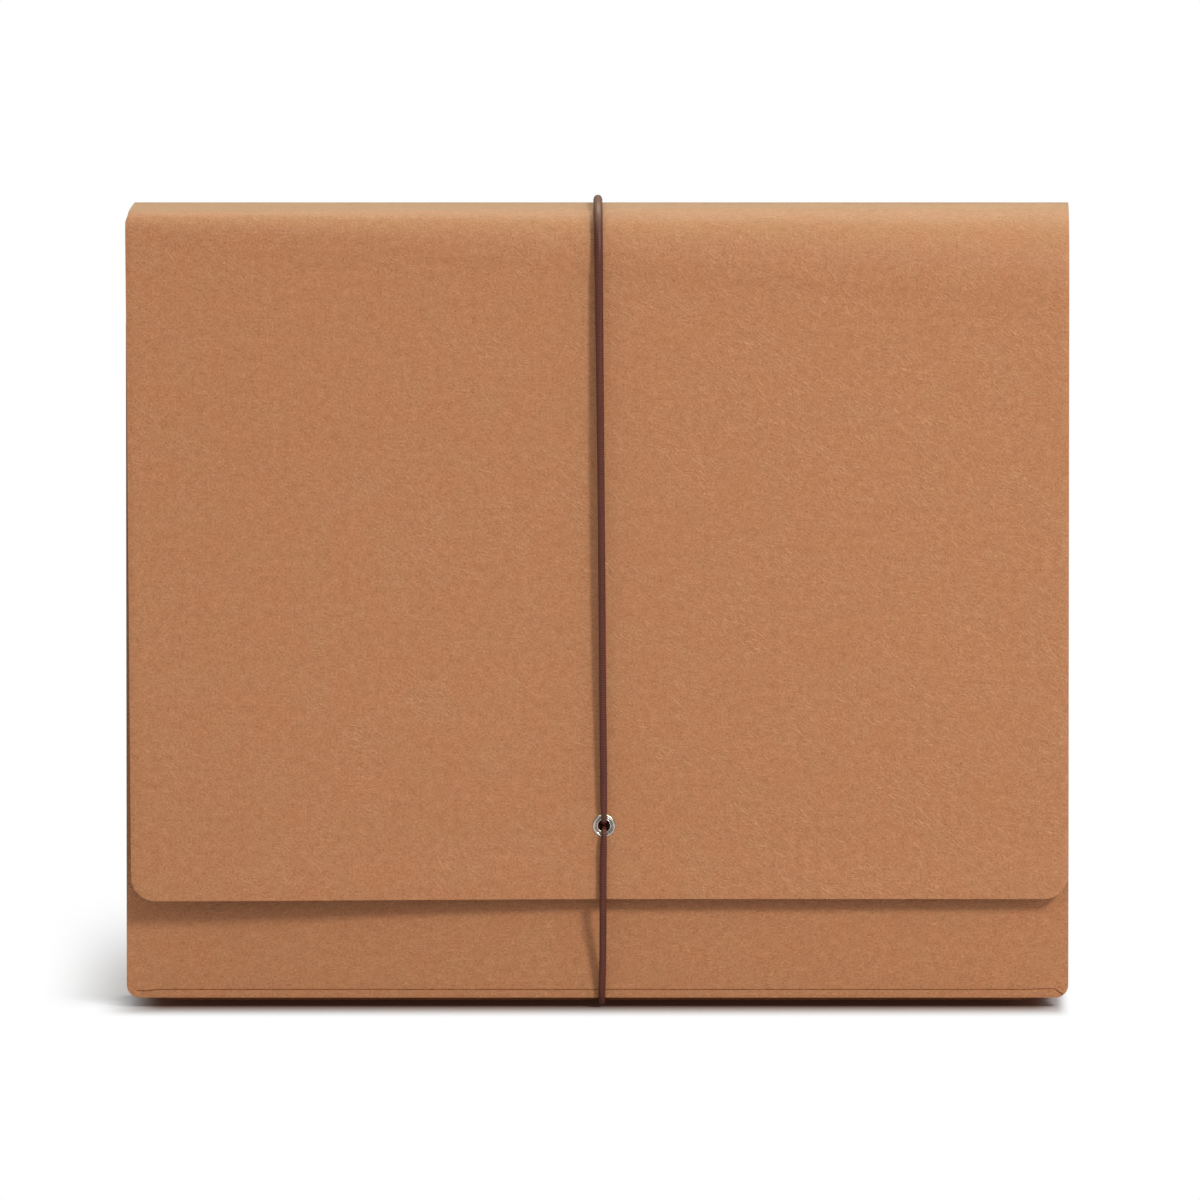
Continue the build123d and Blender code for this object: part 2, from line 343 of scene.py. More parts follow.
def hairlines(finish, flat, degrees, run, gap, sharpness):
    """Short fine lines of a run and a gap in millimetres, along one direction of the sheet."""
    sway = finish.noise(flat, scale=0.12, detail=1, output="Color")
    swayed = finish.vector("ADD", flat, finish.vector("MULTIPLY", sway, (3, 3, 3)))
    along = finish.node(
        "ShaderNodeMapping",
        {"vector_type": "TEXTURE"},
        {"Vector": swayed, "Rotation": (0, 0, radians(degrees)), "Scale": (run, gap, gap)},
    )
    ridge = 1 - abs(finish.noise(along, scale=1, detail=1, roughness=0.4) * 2 - 1)
    return finish.step(ridge, sharpness, 1)


def board_finish(name, rgb, uv_map="sheet", lines=1, gloss=0.4):
    """Leather-look board: fine grain, mottling, soft blotches, and pale hairlines in patches."""
    finish = Finish(name)
    flat = millimetres(finish, uv_map)
    across = finish.node("ShaderNodeSeparateXYZ", {}, {0: flat}, 0)
    elsewhere = finish.vector("ADD", flat, (310, 170, 90))
    grain = finish.noise(flat, scale=1.4, detail=3, roughness=0.66)
    mottle = finish.noise(flat, scale=0.36, detail=3, roughness=0.7)
    blotch = finish.noise(flat, scale=0.08, detail=4, roughness=0.6)
    busy = finish.step(across, -160, 120) * 0.12
    patch = finish.step(finish.noise(flat, scale=0.07, detail=2) + busy, 0.46, 0.72)
    other = finish.step(finish.noise(elsewhere, scale=0.06, detail=2) + busy, 0.48, 0.74)
    level = hairlines(finish, flat, degrees=8, run=7, gap=1.1, sharpness=0.89)
    slant = hairlines(finish, flat, degrees=42, run=7, gap=1.1, sharpness=0.89)
    broken = finish.step(finish.noise(flat, scale=0.5, detail=2, roughness=0.6), 0.38, 0.56)
    line = (level * patch * 0.8 + slant * other) * broken
    warm = tone((rgb[0] * 1.018, rgb[1] * 0.976, rgb[2] * 0.962), 1)
    tan_ = tone((rgb[0] * 0.994, rgb[1] * 1.032, rgb[2] * 1.03), 1)
    base = finish.tint(warm, tan_, finish.step(blotch, 0.35, 0.65))
    base = finish.tint(base, faded(rgb, 0.88), finish.step(mottle, 0.52, 0.24))
    base = finish.tint(base, faded(rgb, 1.14), finish.step(mottle, 0.48, 0.76))
    base = finish.tint(base, faded(rgb, 0.64), finish.step(grain, 0.5, 0.2))
    base = finish.tint(base, faded(rgb, 1.34), finish.step(grain, 0.5, 0.8) * 0.85)
    pale = tone((rgb[0] * 1.36, rgb[1] * 1.52, rgb[2] * 1.5), 1)
    base = finish.tint(base, pale, line * (0.42 * lines))
    height = grain + mottle * 0.8 + line * (1.8 * lines) + blotch * 0.4
    bump = finish.node("ShaderNodeBump", {}, {"Strength": 0.5, "Distance": 0.00016, "Height": height})
    return finish.shade({
        "Base Color": base,
        "Roughness": gloss + grain * 0.14,
        "Specular IOR Level": 0.3,
        "Sheen Weight": 0.36,
        "Sheen Roughness": 0.35,
        "Sheen Tint": (1, 0.94, 0.62, 1),
        "Normal": bump,
    })


def paper_finish(name, rgb):
    """Plain kraft paper with soft clouds and short fibres, on Object coordinates."""
    finish = Finish(name)
    flat = millimetres(finish, None)
    cloud = finish.noise(flat, scale=0.12, detail=3)
    grain = finish.noise(flat, scale=2.2, detail=2, roughness=0.6)
    fibre = hairlines(finish, flat, degrees=20, run=2, gap=0.42, sharpness=0.9)
    base = finish.tint(tone(rgb, 0.9), tone(rgb, 1.1), finish.step(cloud, 0.3, 0.7))
    base = finish.tint(base, tone(rgb, 0.75), finish.step(grain, 0.48, 0.2) * 0.7)
    base = finish.tint(base, tone(rgb, 1.3), fibre * 0.3)
    bump = finish.node("ShaderNodeBump", {}, {"Strength": 0.25, "Distance": 0.0001, "Height": grain + fibre})
    return finish.shade({
        "Base Color": base,
        "Roughness": 0.72 + cloud * 0.12,
        "Specular IOR Level": 0.25,
        "Normal": bump,
    })


def edge_finish(name, rgb):
    """Cut edge of the board: fibres pressed in layers."""
    finish = Finish(name)
    flat = millimetres(finish, None)
    fibre = finish.noise(flat, scale=3.5, detail=2, roughness=0.7)
    run = finish.noise(flat, scale=0.4, detail=2)
    base = finish.tint(tone(rgb, 0.7), tone(rgb, 1.35), finish.step(fibre * 0.6 + run * 0.4, 0.3, 0.7))
    bump = finish.node("ShaderNodeBump", {}, {"Strength": 0.5, "Distance": 0.0001, "Height": fibre})
    return finish.shade({
        "Base Color": base, "Roughness": 0.75 + run * 0.1, "Specular IOR Level": 0.25, "Normal": bump
    })


STRANDS = 8
BRAID_PITCH = 1.6 * MM


def braid_finish(name, gap_shade_and_wear, light):
    """Braided elastic: strands that cross in two directions round the cord, with painted shade between them.
    """
    finish = Finish(name)
    flat = finish.node("ShaderNodeUVMap", {"uv_map": "braid"})
    split = finish.node("ShaderNodeSeparateXYZ", {}, {0: flat})
    along = finish.node("ShaderNodeSeparateXYZ", {}, {0: flat}, 1)
    turn = split * (STRANDS * 2 * pi)
    run = along * (2 * pi / BRAID_PITCH)
    first = finish.node("ShaderNodeMath", {"operation": "SINE"}, {0: turn + run})
    second = finish.node("ShaderNodeMath", {"operation": "SINE"}, {0: turn - run})
    weave = first * second * 0.5 + 0.5
    where = finish.node("ShaderNodeTexCoord", {}, {}, "Object")
    fuzz = finish.noise(where, scale=2600, detail=2, roughness=0.6)
    wear = finish.noise(where, scale=140, detail=2)
    # Painted shade between the strands and painted light on them, mixed with random fuzz and wear
    braid_shade_fuzz_and_wear = finish.step(weave * 0.6 + fuzz * 0.5 + wear * 0.2, 0.35, 0.95)
    base = finish.tint(gap_shade_and_wear + (1,), light + (1,), braid_shade_fuzz_and_wear)
    bump = finish.node(
        "ShaderNodeBump", {}, {"Strength": 0.4, "Distance": 0.00012, "Height": weave + fuzz * 0.3}
    )
    return finish.shade({
        "Base Color": base,
        "Roughness": 0.28 + fuzz * 0.16,
        "Specular IOR Level": 0.3,
        "Normal": bump,
    })


def metal_finish(name, rgb):
    """Bright plated metal with light handling marks."""
    finish = Finish(name)
    where = finish.node("ShaderNodeTexCoord", {}, {}, "Object")
    smear = finish.noise(where, scale=500, detail=3, roughness=0.6)
    pits = finish.noise(where, scale=2400, detail=2, roughness=0.6)
    base = finish.tint(tone(rgb, 0.85), tone(rgb, 1.08), finish.step(smear, 0.3, 0.7))
    bump = finish.node("ShaderNodeBump", {}, {"Strength": 0.08, "Distance": 0.0001, "Height": pits})
    return finish.shade({
        "Base Color": base, "Metallic": 1.0, "Roughness": 0.16 + smear * 0.16, "Normal": bump
    })


FINISHES = {}


def finish_for(name, make, *values):
    """A finish by name, made once."""
    if name not in FINISHES:
        FINISHES[name] = make(name, *values)
    return FINISHES[name]


def board_finishes():
    cover = bpy.context.scene.file_cover
    return [
        finish_for("board_face", board_finish, tuple(cover.face)),
        finish_for("board_inside", board_finish, tuple(cover.inside), "sheet", 0.3, 0.6),
        finish_for("board_edge", edge_finish, tuple(cover.edge)),
    ]


def gusset_finish():
    return finish_for("gusset_paper", paper_finish, tuple(bpy.context.scene.file_gusset.paper))


def braid():
    elastic = bpy.context.scene.file_elastic
    return finish_for("elastic_braid", braid_finish, tuple(elastic.gap_shade_and_wear), tuple(elastic.light))


def add_piece(name, bm, finishes):
    """Links a piece made from a mesh under construction."""
    mesh = bpy.data.meshes.new(name)
    bm.to_mesh(mesh)
    bm.free()
    for finish in finishes:
        mesh.materials.append(finish)
    piece = bpy.data.objects.new(name, mesh)
    bpy.context.scene.collection.objects.link(piece)
    return piece


def settle(piece):
    """Turns a piece with modifiers into a plain mesh."""
    bpy.context.view_layer.update()
    depsgraph = bpy.context.evaluated_depsgraph_get()
    evaluated = piece.evaluated_get(depsgraph)
    mesh = bpy.data.meshes.new_from_object(evaluated, preserve_all_data_layers=True, depsgraph=depsgraph)
    piece.modifiers.clear()
    if piece.type == "MESH":
        piece.data = mesh
        return piece
    name = piece.name
    bpy.data.objects.remove(piece)
    piece = bpy.data.objects.new(name, mesh)
    bpy.context.scene.collection.objects.link(piece)
    return piece


def smooth(piece, angle=25):
    """Smooth shading, with creases where faces meet at more than an angle."""
    for face in piece.data.polygons:
        face.use_smooth = True
    piece.data.set_sharp_from_angle(angle=radians(angle))
    return piece


def board_piece(name, rows, seams, finishes):
    """A closed sheet through rows of outer point, inner point and place on the flat sheet."""
    bm = bmesh.new()
    uv = bm.loops.layers.uv.new("sheet")
    soft = bm.edges.layers.float.new("bevel_weight_edge")
    flat = {}

    def vertex(point, where):
        vert = bm.verts.new(point)
        flat[vert] = where
        return vert

    def face(verts, index):
        made = bm.faces.new(verts)
        made.material_index = index
        for loop in made.loops:
            loop[uv].uv = flat[loop.vert]

    outer = [[vertex(point[0], point[2]) for point in row] for row in rows]
    inner = [[vertex(point[1], point[2]) for point in row] for row in rows]
    last_row, last_column = len(rows) - 1, len(rows[0]) - 1
    for i in range(last_row):
        for j in range(last_column):
            face((outer[i][j], outer[i][j + 1], outer[i + 1][j + 1], outer[i + 1][j]), 0)
            face((inner[i][j], inner[i + 1][j], inner[i + 1][j + 1], inner[i][j + 1]), 1)
    rims = [[(outer[i][j], inner[i][j]) for i in range(last_row + 1)] for j in (0, last_column)]
    ends = [[(outer[i][j], inner[i][j]) for j in range(last_column + 1)] for i in (0, last_row)]
    rims += [end for end, seam in zip(ends, seams) if not seam]
    for rim in rims + [end for end, seam in zip(ends, seams) if seam]:
        for (first, under), (second, below) in zip(rim, rim[1:]):
            face((first, second, below, under), 2)
    for rim in rims:
        for pair in zip(rim, rim[1:]):
            for side in (0, 1):
                edge = bm.edges.get((pair[0][side], pair[1][side]))
                edge[soft] = 1
    bmesh.ops.recalc_face_normals(bm, faces=bm.faces)
    return add_piece(name, bm, finishes)


def round_edges(piece, width):
    """Takes the sharpness off a sheet's cut edges."""
    bevel = piece.modifiers.new("worn edge", "BEVEL")
    bevel.width = width
    bevel.segments = 2
    bevel.limit_method = "WEIGHT"
    bevel.use_clamp_overlap = True
    return settle(piece)


def bore(piece, centre, radius):
    """Cuts a round hole through a sheet, along the depth."""
    bm = bmesh.new()
    bmesh.ops.create_cone(
        bm, cap_ends=True, segments=64, radius1=radius, radius2=radius, depth=radius * 4
    )
    bmesh.ops.rotate(bm, verts=bm.verts, matrix=Matrix.Rotation(pi / 2, 3, "X"))
    bmesh.ops.translate(bm, verts=bm.verts, vec=centre)
    bmesh.ops.recalc_face_normals(bm, faces=bm.faces)
    cutter = add_piece("cutter", bm, [piece.data.materials[2]])
    cut = piece.modifiers.new("hole", "BOOLEAN")
    cut.operation = "DIFFERENCE"
    cut.solver = "EXACT"
    cut.object = cutter
    settle(piece)
    bpy.data.objects.remove(cutter)
    return piece


def corner_cut(radius, rise):
    """How far a rounded corner stands in from the side, at a height above its edge."""
    if rise >= radius:
        return 0
    return radius - sqrt(radius * radius - (radius - rise) ** 2)


def bend_table(steps):
    """Shares of reach and fall, with the turn, along a bend that tightens and eases off again."""
    turns = [pi / 2 * ease(step / steps) for step in range(steps + 1)]
    places = [(0, 0)]
    for turn, following in zip(turns, turns[1:]):
        middle = (turn + following) / 2
        places.append((places[-1][0] + cos(middle), places[-1][1] + sin(middle)))
    reach, fall = places[-1]
    return [(along / reach, down / fall, turn) for (along, down), turn in zip(places, turns)], steps / reach


class FoldedBoard:
    """Outer face of the cover, from the foot of the back, over both folds, to the flap's lower edge."""

    COLUMNS = 110
    BEND_STEPS = 24
    ROWS = {
        "back_foot": 8, "back": 60, "rear_fold": 14, "rear_top": 2, "mid_top": 8, "front_top": 8,
        "shoulder": BEND_STEPS, "leaf": 80, "leaf_end": 10,
    }
    SHOULDER_CURVE = 1.1
    SLANT_CURVE = 1.4
    SLANT_FALL = 3.4 * MM
    SKEW_SHARE = 0.12
    BOW_FADE = 0.6
    LIFT_SPAN = 1.1
    LIFT_REACH = 150 * MM
    HEM_REACH = 22 * MM

    def __init__(self, cover):
        self.cover = cover
        self.foot = BACK_LOW.z
        self.rear_start = TOP_Z - cover.rear_fold
        self.rise = self.rear_start - self.foot
        self.half = (BACK_HIGH.x - BACK_LOW.x) / 2
        self.bend, self.bend_run = bend_table(self.BEND_STEPS)

    def shoulder_reach(self, x):
        across = max((x + self.half) / (2 * self.half), 0)
        return mix(self.cover.left_shoulder, self.cover.right_shoulder, across ** self.SHOULDER_CURVE)

    def sink(self, x, height):
        """How far the flap stands forward of its flat face."""
        cover = self.cover
        fall = (TOP_Z - height) / (TOP_Z - EYELET_CENTRE.z)
        bow = sin(pi * fall) if 0 < fall < 1 else 0
        bow *= 1 - self.BOW_FADE * (x / self.half) ** 2
        left = ease((self.LIFT_SPAN - 1 - x / self.half) / self.LIFT_SPAN)
        low = ease(1 - (height - LEAF_LOW.z) / self.LIFT_REACH)
        hem = ease(1 - (height - LEAF_LOW.z) / self.HEM_REACH)
        return cover.lift * left * low + cover.hem * hem - cover.bow * bow

    def edges(self, part, share):
        """Left and right ends of a row."""
        cover = self.cover
        left, right = -self.half, self.half
        if part == "back_foot":
            cut = corner_cut(cover.back_corner, self.foot_rise(share))
            return left + cut, right - cut
        if part == "back":
            high = ease((share - 1 + self.SKEW_SHARE) / self.SKEW_SHARE)
            return left + cover.skew * high, right - cover.right_inset * high
        right -= cover.right_inset
        if part in ("leaf", "leaf_end"):
            left += mix(cover.left_high, cover.left_low, share if part == "leaf" else 1)
            if part == "leaf_end":
                cut = corner_cut(cover.flap_corner, self.end_rise(share) - cover.edge_rise)
                left, right = left + cut, right - cut
            return left, right
        depth, height = self.section(part, share, left)[:2]
        if depth <= cover.rear_fold:
            return left + cover.skew, right
        behind = 1 - (depth - cover.rear_fold) / (FLAP_DEPTH - cover.rear_fold)
        slant = mix(cover.slant, cover.skew, max(behind, 0) ** self.SLANT_CURVE)
        fall = ease(1 - (TOP_Z - height) / self.SLANT_FALL)
        return left + mix(cover.left_high, slant, fall), right

    def foot_rise(self, share):
        return self.cover.back_corner * (1 - cos(share * pi / 2))

    def end_rise(self, share):
        return self.cover.edge_rise + self.cover.flap_corner * (1 - sin(share * pi / 2))

    def section(self, part, share, x):
        """Depth, height, the outward slant and the run along the flat sheet."""
        cover = self.cover
        arc = share * pi / 2
        rear = cover.rear_fold
        run = self.rise + rear * arc
        if part == "back_foot":
            height = self.foot + self.foot_rise(share)
            return 0, height, -1, 0, height - self.foot
        if part == "back":
            height = mix(self.foot + cover.back_corner, self.rear_start, share)
            return 0, height, -1, 0, height - self.foot
        if part == "rear_fold":
            return rear - rear * cos(arc), self.rear_start + rear * sin(arc), -cos(arc), sin(arc), run
        run = self.rise + rear * pi / 2 - rear
        if part == "rear_top":
            depth = mix(rear, cover.top_start, share)
            return depth, TOP_Z, 0, 1, run + depth
        if part == "mid_top":
            depth = mix(cover.top_start, cover.top_end, share)
            return depth, TOP_Z, 0, 1, run + depth + cover.top_spare * share
        reach = self.shoulder_reach(x)
        run += cover.top_spare
        if part == "front_top":
            depth = mix(cover.top_end, FLAP_DEPTH - reach, share)
            return depth, TOP_Z, 0, 1, run + depth
        run += FLAP_DEPTH - reach
        if part == "shoulder":
            along, down, turn = self.bend[round(share * self.BEND_STEPS)]
            depth = FLAP_DEPTH - reach + reach * along
            return depth, TOP_Z - reach * down, sin(turn), cos(turn), run + reach * self.bend_run * share
        start = TOP_Z - reach
        if part == "leaf":
            height = mix(start, LEAF_LOW.z + self.end_rise(0), share)
        else:
            height = LEAF_LOW.z + self.end_rise(share)
        depth = FLAP_DEPTH + self.sink(x, height)
        return depth, height, 1, 0, run + reach * self.bend_run + start - height

    def row(self, part, share):
        left, right = self.edges(part, share)
        board = self.cover.board
        line = []
        for column in range(self.COLUMNS + 1):
            x = mix(left, right, column / self.COLUMNS)
            depth, height, forward, upward, run = self.section(part, share, x)
            outer = place(x, depth, height)
            inner = place(x, depth - forward * board, height - upward * board)
            line.append((outer, inner, (x, run)))
        return line

    def rows(self, *parts):
        """Rows through several parts of the board."""
        lines = []
        for part in parts:
            steps = self.ROWS[part]
            for step in range(steps + 1):
                if step or not lines:
                    lines.append(self.row(part, step / steps))
        return lines


WORN_EDGE = 0.16


class FILE_OT_cover_board(bpy.types.Operator):
    """Builds the back, top and flap of the cover from one folded board"""

    bl_idname = "accordion_file.cover_board"
    bl_label = "Cover Board"

    def execute(self, context):
        cover = context.scene.file_cover
        form = FoldedBoard(cover)
        finishes = board_finishes()
        worn = cover.board * WORN_EDGE
        back = form.rows("back_foot", "back", "rear_fold", "rear_top")
        back = board_piece("cover_back", back, (False, True), finishes)
        back = smooth(round_edges(back, worn))
        place(0, 0, TOP_Z - cover.rear_fold)
        place(0, cover.rear_fold, TOP_Z)
        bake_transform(back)
        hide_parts("back_panel")
        top = board_piece("cover_top", form.rows("mid_top"), (True, True), finishes)
        top = smooth(round_edges(top, worn))
        place(0, cover.top_start, TOP_Z)
        place(0, cover.top_end, TOP_Z)
        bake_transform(top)
        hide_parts("flap_spine")
        flap = form.rows("front_top", "shoulder", "leaf", "leaf_end")
        flap = board_piece("cover_flap", flap, (True, False), finishes)
        flap = bore(flap, Vector((EYELET_CENTRE.x, LEAF_LOW.y, EYELET_CENTRE.z)), cover.hole)
        flap = smooth(round_edges(flap, worn))
        reach = (cover.left_shoulder + cover.right_shoulder) / 2
        place(0, FLAP_DEPTH - reach, TOP_Z)
        place(0, FLAP_DEPTH, TOP_Z - reach)
        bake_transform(flap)
        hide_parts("flap_shoulder", "flap_leaf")
        return {"FINISHED"}


class FILE_OT_front_panel(bpy.types.Operator):
    """Builds the board glued on the front of the gusset"""

    bl_idname = "accordion_file.front_panel"
    bl_label = "Front Panel"

    COLUMNS = 200
    CORNER_ROWS = 6
    CREASE_ROWS = 34
    FACE_ROWS = 50
    CREASE_BELOW = 2.2 * MM
    CREASE_ABOVE = 2.4
    FACE_START = 2 * MM
    RIGHT_HOOK = 2.1 * MM
    RIGHT_RISE = 0.25 * MM
    LEFT_DROP = 0.5 * MM
    ROLL_SHARE = 0.35
    SHEET_OFFSET = 0.4

    def heights(self, cover, foot, score):
        """Heights of the rows, close together round the crease."""
        corner = cover.front_corner
        low = score - self.CREASE_BELOW
        high = score + self.CREASE_ABOVE * cover.crease_width
        rows = [foot + corner * (1 - cos(step / self.CORNER_ROWS * pi / 2)) for step in range(3)]
        rows = [height for height in rows if height < low]
        rows += [mix(low, high, step / self.CREASE_ROWS) for step in range(self.CREASE_ROWS + 1)]
        rows += [high + (foot + corner - high) * step / 3 for step in (1, 2, 3)]
        start = foot + corner + self.FACE_START
        return rows + [
            mix(start, FRONT_HIGH.z, step / self.FACE_ROWS) for step in range(self.FACE_ROWS + 1)
        ]

    def execute(self, context):
        cover = context.scene.file_cover
        corner = cover.front_corner
        foot = PLY_LOW.z
        half = (PLY_HIGH.x - PLY_LOW.x) / 2 + cover.spread
        thick = FRONT_HIGH.y - FRONT_LOW.y
        score = FRONT_LOW.z
        heights = self.heights(cover, foot, score)
        steps = range(self.COLUMNS + 1)
        columns = [sin(mix(-1, 1, step / self.COLUMNS) * pi / 2) for step in steps]
        rows = []
        for height in heights:
            cut = corner_cut(corner, height - foot)
            line = []
            for column in columns:
                x = column * (half - cut) - cover.drift
                stand = self.stand(cover, x / half, height, foot, score)
                outer = Vector((x, FRONT_LOW.y - stand, height))
                inner = Vector((x, FRONT_LOW.y + thick - stand, height))
                line.append((outer, inner, (x + self.SHEET_OFFSET, height)))
            rows.append(line)
        panel = board_piece("front_board", rows, (False, False), board_finishes())
        panel = smooth(round_edges(panel, cover.board * WORN_EDGE))
        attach(panel, "front")
        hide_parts("front_panel")
        return {"FINISHED"}

    def stand(self, cover, across, height, foot, score):
        """How far the face stands forward: it turns under at the foot and dips in the crease above it."""
        roll = self.ROLL_SHARE
        under = ease((mix(foot, score, roll) - height) / (score - foot) / roll)
        right = ease((across - 0.965) / 0.028)
        rising = ease((across - 0.9) / 0.06)
        left = ease((-0.915 - across) / 0.06)
        ends = ease((across + 0.985) / 0.012)
        line = score + self.RIGHT_RISE * rising - self.RIGHT_HOOK * right - self.LEFT_DROP * left
        wide = cover.crease_width * (1 + 0.7 * right + 0.9 * left)
        deep = cover.crease_depth * (1 + 0.5 * right + 0.5 * left)
        dip = max(1 - abs(height - line) / wide, 0) * ends
        return -cover.foot_roll * under - deep * dip


def arc_points(centre_x, centre_z, radius, start, end, steps=8):
    """Points on an arc in the plane of a sheet, with its angles in quarter turns."""
    angles = [mix(start, end, step / steps) * pi / 2 for step in range(steps + 1)]
    return [(centre_x + radius * cos(angle), centre_z + radius * sin(angle)) for angle in angles]


NOTCH_RISE = 5.5 * MM


class FILE_OT_dividers(bpy.types.Operator):
    """Builds the divider sheets with their index tabs"""

    bl_idname = "accordion_file.dividers"
    bl_label = "Dividers"

    def execute(self, context):
        gusset = context.scene.file_gusset
        paper = finish_for("divider_paper", paper_finish, tuple(gusset.sheet))
        for number, node in enumerate(DIVIDERS):
            low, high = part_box(node)
            shift = (number - (len(DIVIDERS) - 1) / 2) * gusset.tab_step
            bm = bmesh.new()
            outline = self.outline(gusset, low, high, shift)
            face = bm.faces.new([bm.verts.new((x, high.y, z)) for x, z in outline])
            made = bmesh.ops.extrude_face_region(bm, geom=[face])
            moved = [item for item in made["geom"] if isinstance(item, bmesh.types.BMVert)]
            bmesh.ops.translate(bm, verts=moved, vec=(0, low.y - high.y, 0))
            bmesh.ops.recalc_face_normals(bm, faces=bm.faces)
            sheet = add_piece(node + "_sheet", bm, [paper])
            bevel = sheet.modifiers.new("worn edge", "BEVEL")
            bevel.width = (high.y - low.y) / 6
            bevel.segments = 2
            bevel.limit_method = "ANGLE"
            bevel.angle_limit = radians(60)
            sheet = smooth(settle(sheet))
            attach(sheet, node)
            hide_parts(node)
        return {"FINISHED"}

    def outline(self, gusset, low, high, shift):
        """A sheet with rounded lower corners, a notch for the elastic and a tab on its upper edge."""
        inset = gusset.divider_inset
        half = (high.x - low.x) / 2 - inset
        foot = low.z + inset + gusset.rise
        corner = gusset.corner - inset
        top = high.z - gusset.tab_height
        tab = gusset.tab_width / 2
        notch = gusset.notch
        roof = foot + NOTCH_RISE
        middle = FOOT_X * MM
        bend = gusset.tab_corner
        shoulder = high.z - bend
        points = [(middle + notch, roof), (middle + notch, foot)]
        points += arc_points(half - corner, foot + corner, corner, -1, 0)
        points += [(half, top), (shift + tab, top)]
        points += arc_points(shift + tab - bend, shoulder, bend, 0, 1)
        points += arc_points(shift - tab + bend, shoulder, bend, 1, 2)
        points += [(shift - tab, top), (-half, top)]
        points += arc_points(-half + corner, foot + corner, corner, 2, 3)
        points += [(middle - notch, foot), (middle - notch, roof)]
        return points


NOSE_SHARE = 0.495
NOSE_STEPS = 5
FOLD_SKIN = 0.06 * MM


def fold_tree(finish):
    """Nodes that sweep a folded strip along its path."""
    tree = bpy.data.node_groups.new("gusset fold", "GeometryNodeTree")
    face = tree.interface
    face.new_socket("Geometry", in_out="INPUT", socket_type="NodeSocketGeometry")
    width = face.new_socket("Strip Width", in_out="INPUT", socket_type="NodeSocketFloat")
    thick = face.new_socket("Strip Thickness", in_out="INPUT", socket_type="NodeSocketFloat")
    face.new_socket("Geometry", in_out="OUTPUT", socket_type="NodeSocketGeometry")
    nodes, links = tree.nodes, tree.links
    given = nodes.new("NodeGroupInput")
    section = nodes.new("GeometryNodeCurvePrimitiveQuadrilateral")
    links.new(given.outputs["Strip Width"], section.inputs["Width"])
    links.new(given.outputs["Strip Thickness"], section.inputs["Height"])
    half = nodes.new("ShaderNodeMath")
    half.operation = "MULTIPLY"
    half.inputs[1].default_value = NOSE_SHARE
    links.new(given.outputs["Strip Thickness"], half.inputs[0])
    nose = nodes.new("GeometryNodeFilletCurve")
    nose.mode = "POLY"
    nose.inputs["Count"].default_value = NOSE_STEPS
    links.new(section.outputs["Curve"], nose.inputs["Curve"])
    links.new(half.outputs[0], nose.inputs["Radius"])
    sweep = nodes.new("GeometryNodeCurveToMesh")
    sweep.inputs["Fill Caps"].default_value = True
    links.new(given.outputs["Geometry"], sweep.inputs["Curve"])
    links.new(nose.outputs["Curve"], sweep.inputs["Profile Curve"])
    real = nodes.new("GeometryNodeRealizeInstances")
    links.new(sweep.outputs["Mesh"], real.inputs["Geometry"])
    cover = nodes.new("GeometryNodeSetMaterial")
    cover.inputs["Material"].default_value = finish
    links.new(real.outputs["Geometry"], cover.inputs["Geometry"])
    result = nodes.new("NodeGroupOutput")
    links.new(cover.outputs["Geometry"], result.inputs["Geometry"])
    return tree, width.identifier, thick.identifier


class FILE_OT_gusset(bpy.types.Operator):
    """Finishes the gusset's leaves and adds the folded strip round each sheet"""

    bl_idname = "accordion_file.gusset"
    bl_label = "Gusset"

    def execute(self, context):
        gusset = context.scene.file_gusset
        paper = gusset_finish()
        for name in PLEATS + ["front_lining", "back_lining"]:
            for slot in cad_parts[name].material_slots:
                slot.material = paper
        tree, width, thick = fold_tree(paper)
        sheets = [("back", BACK_PLY_LOW.y - gusset.leaf, BACK_PLY_HIGH.y + FOLD_SKIN, BACK_PLY_LOW.z)]
        for node in DIVIDERS:
            low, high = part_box(node)
            sheets.append((node, low.y - gusset.leaf, high.y + gusset.leaf, low.z + gusset.rise))
        sheets.append(("front", PLY_LOW.y - FOLD_SKIN, PLY_HIGH.y + gusset.leaf, PLY_LOW.z))
        front_corner = context.scene.file_cover.front_corner
        for body, near, far, foot in sheets:
            notch, corner = (0, front_corner) if body == "front" else (gusset.notch, gusset.corner)
            path = self.path(gusset, (near + far) / 2, foot, notch, corner)
            fold = bpy.data.objects.new("gusset_fold_" + body, path)
            context.scene.collection.objects.link(fold)
            sweep = fold.modifiers.new("fold", "NODES")
            sweep.node_group = tree
            sweep[width] = gusset.fold_width
            sweep[thick] = far - near
            fold = smooth(settle(fold), 50)
            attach(fold, body)
        return {"FINISHED"}

    def path(self, gusset, y, foot, notch, radius):
        """Middle line of a folded strip: down one side, round the corner and along the foot to the notch."""
        inset = gusset.fold_width / 2
        half = (PLY_HIGH.x - PLY_LOW.x) / 2 - inset
        corner = radius - inset
        base = foot + inset
        line = bpy.data.curves.new("gusset fold path", "CURVE")
        line.dimensions = "3D"
        for side in (-1, 1):
            end = FOOT_X * MM + side * notch
            points = [(side * half, PLEAT_TOP)]
            points += [(side * x, z) for x, z in arc_points(half - corner, base + corner, corner, 0, -1)]
            points.append((end, base))
            spline = line.splines.new("POLY")
            spline.points.add(len(points) - 1)
            for point, (x, z) in zip(spline.points, points):
                point.co = (x, y, z, 1)
        return line


